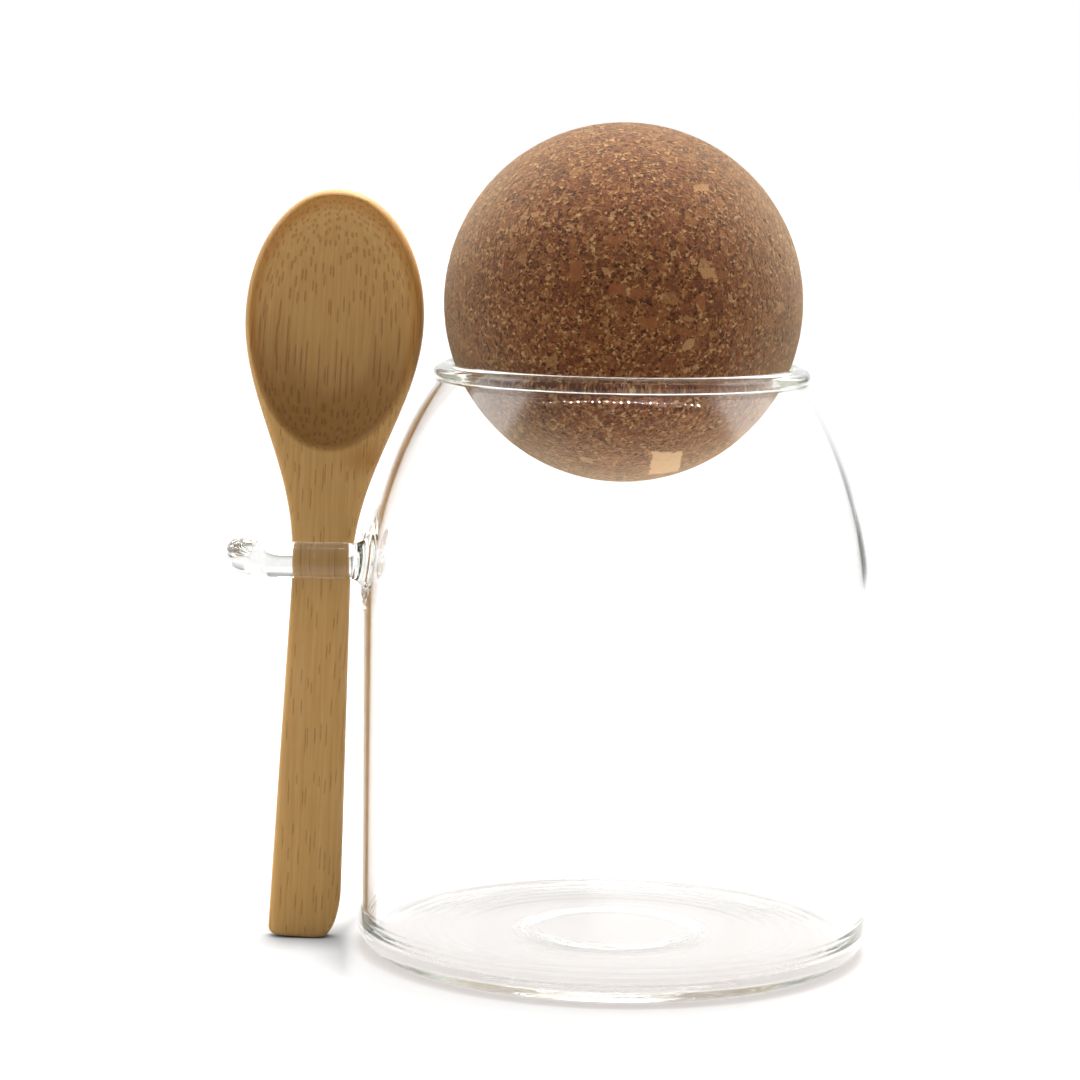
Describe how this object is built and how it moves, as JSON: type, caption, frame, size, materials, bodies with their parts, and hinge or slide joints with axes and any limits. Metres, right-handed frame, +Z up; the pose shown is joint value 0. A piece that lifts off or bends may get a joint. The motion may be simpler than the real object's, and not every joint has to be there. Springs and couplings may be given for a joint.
{
  "type": "glass jar with cork ball lid",
  "caption": "Round-shouldered clear glass canister closed by a cork ball that sits in its mouth, with a bamboo spoon standing in a glass loop on its side.",
  "frame": {"origin": "on the jar's axis, in the plane of the table that the jar and the spoon stand on", "axes": "+Z up along the jar's axis; -X towards the side that carries the loop and the spoon; -Y the way the spoon's hollow faces"},
  "size_m": [0.1268, 0.1, 0.1611],
  "materials": {
    "clear_glass": "polished",
    "cork": "matte",
    "bamboo": "satin"
  },
  "bodies": {
    "jar": {"glass_jar": "clear_glass", "spoon_loop": "clear_glass"},
    "lid": {"cork_ball": "cork"},
    "spoon": {"bamboo_spoon": "bamboo"}
  },
  "joints": [
    {"name": "lid_lift", "type": "slide", "parent": "jar", "child": "lid", "axis": [0, 0, 1], "range_m": [0, 0.04]},
    {"name": "spoon_lift", "type": "slide", "parent": "jar", "child": "spoon", "axis": [0, 0, 1], "range_m": [0, 0.095]}
  ]
}
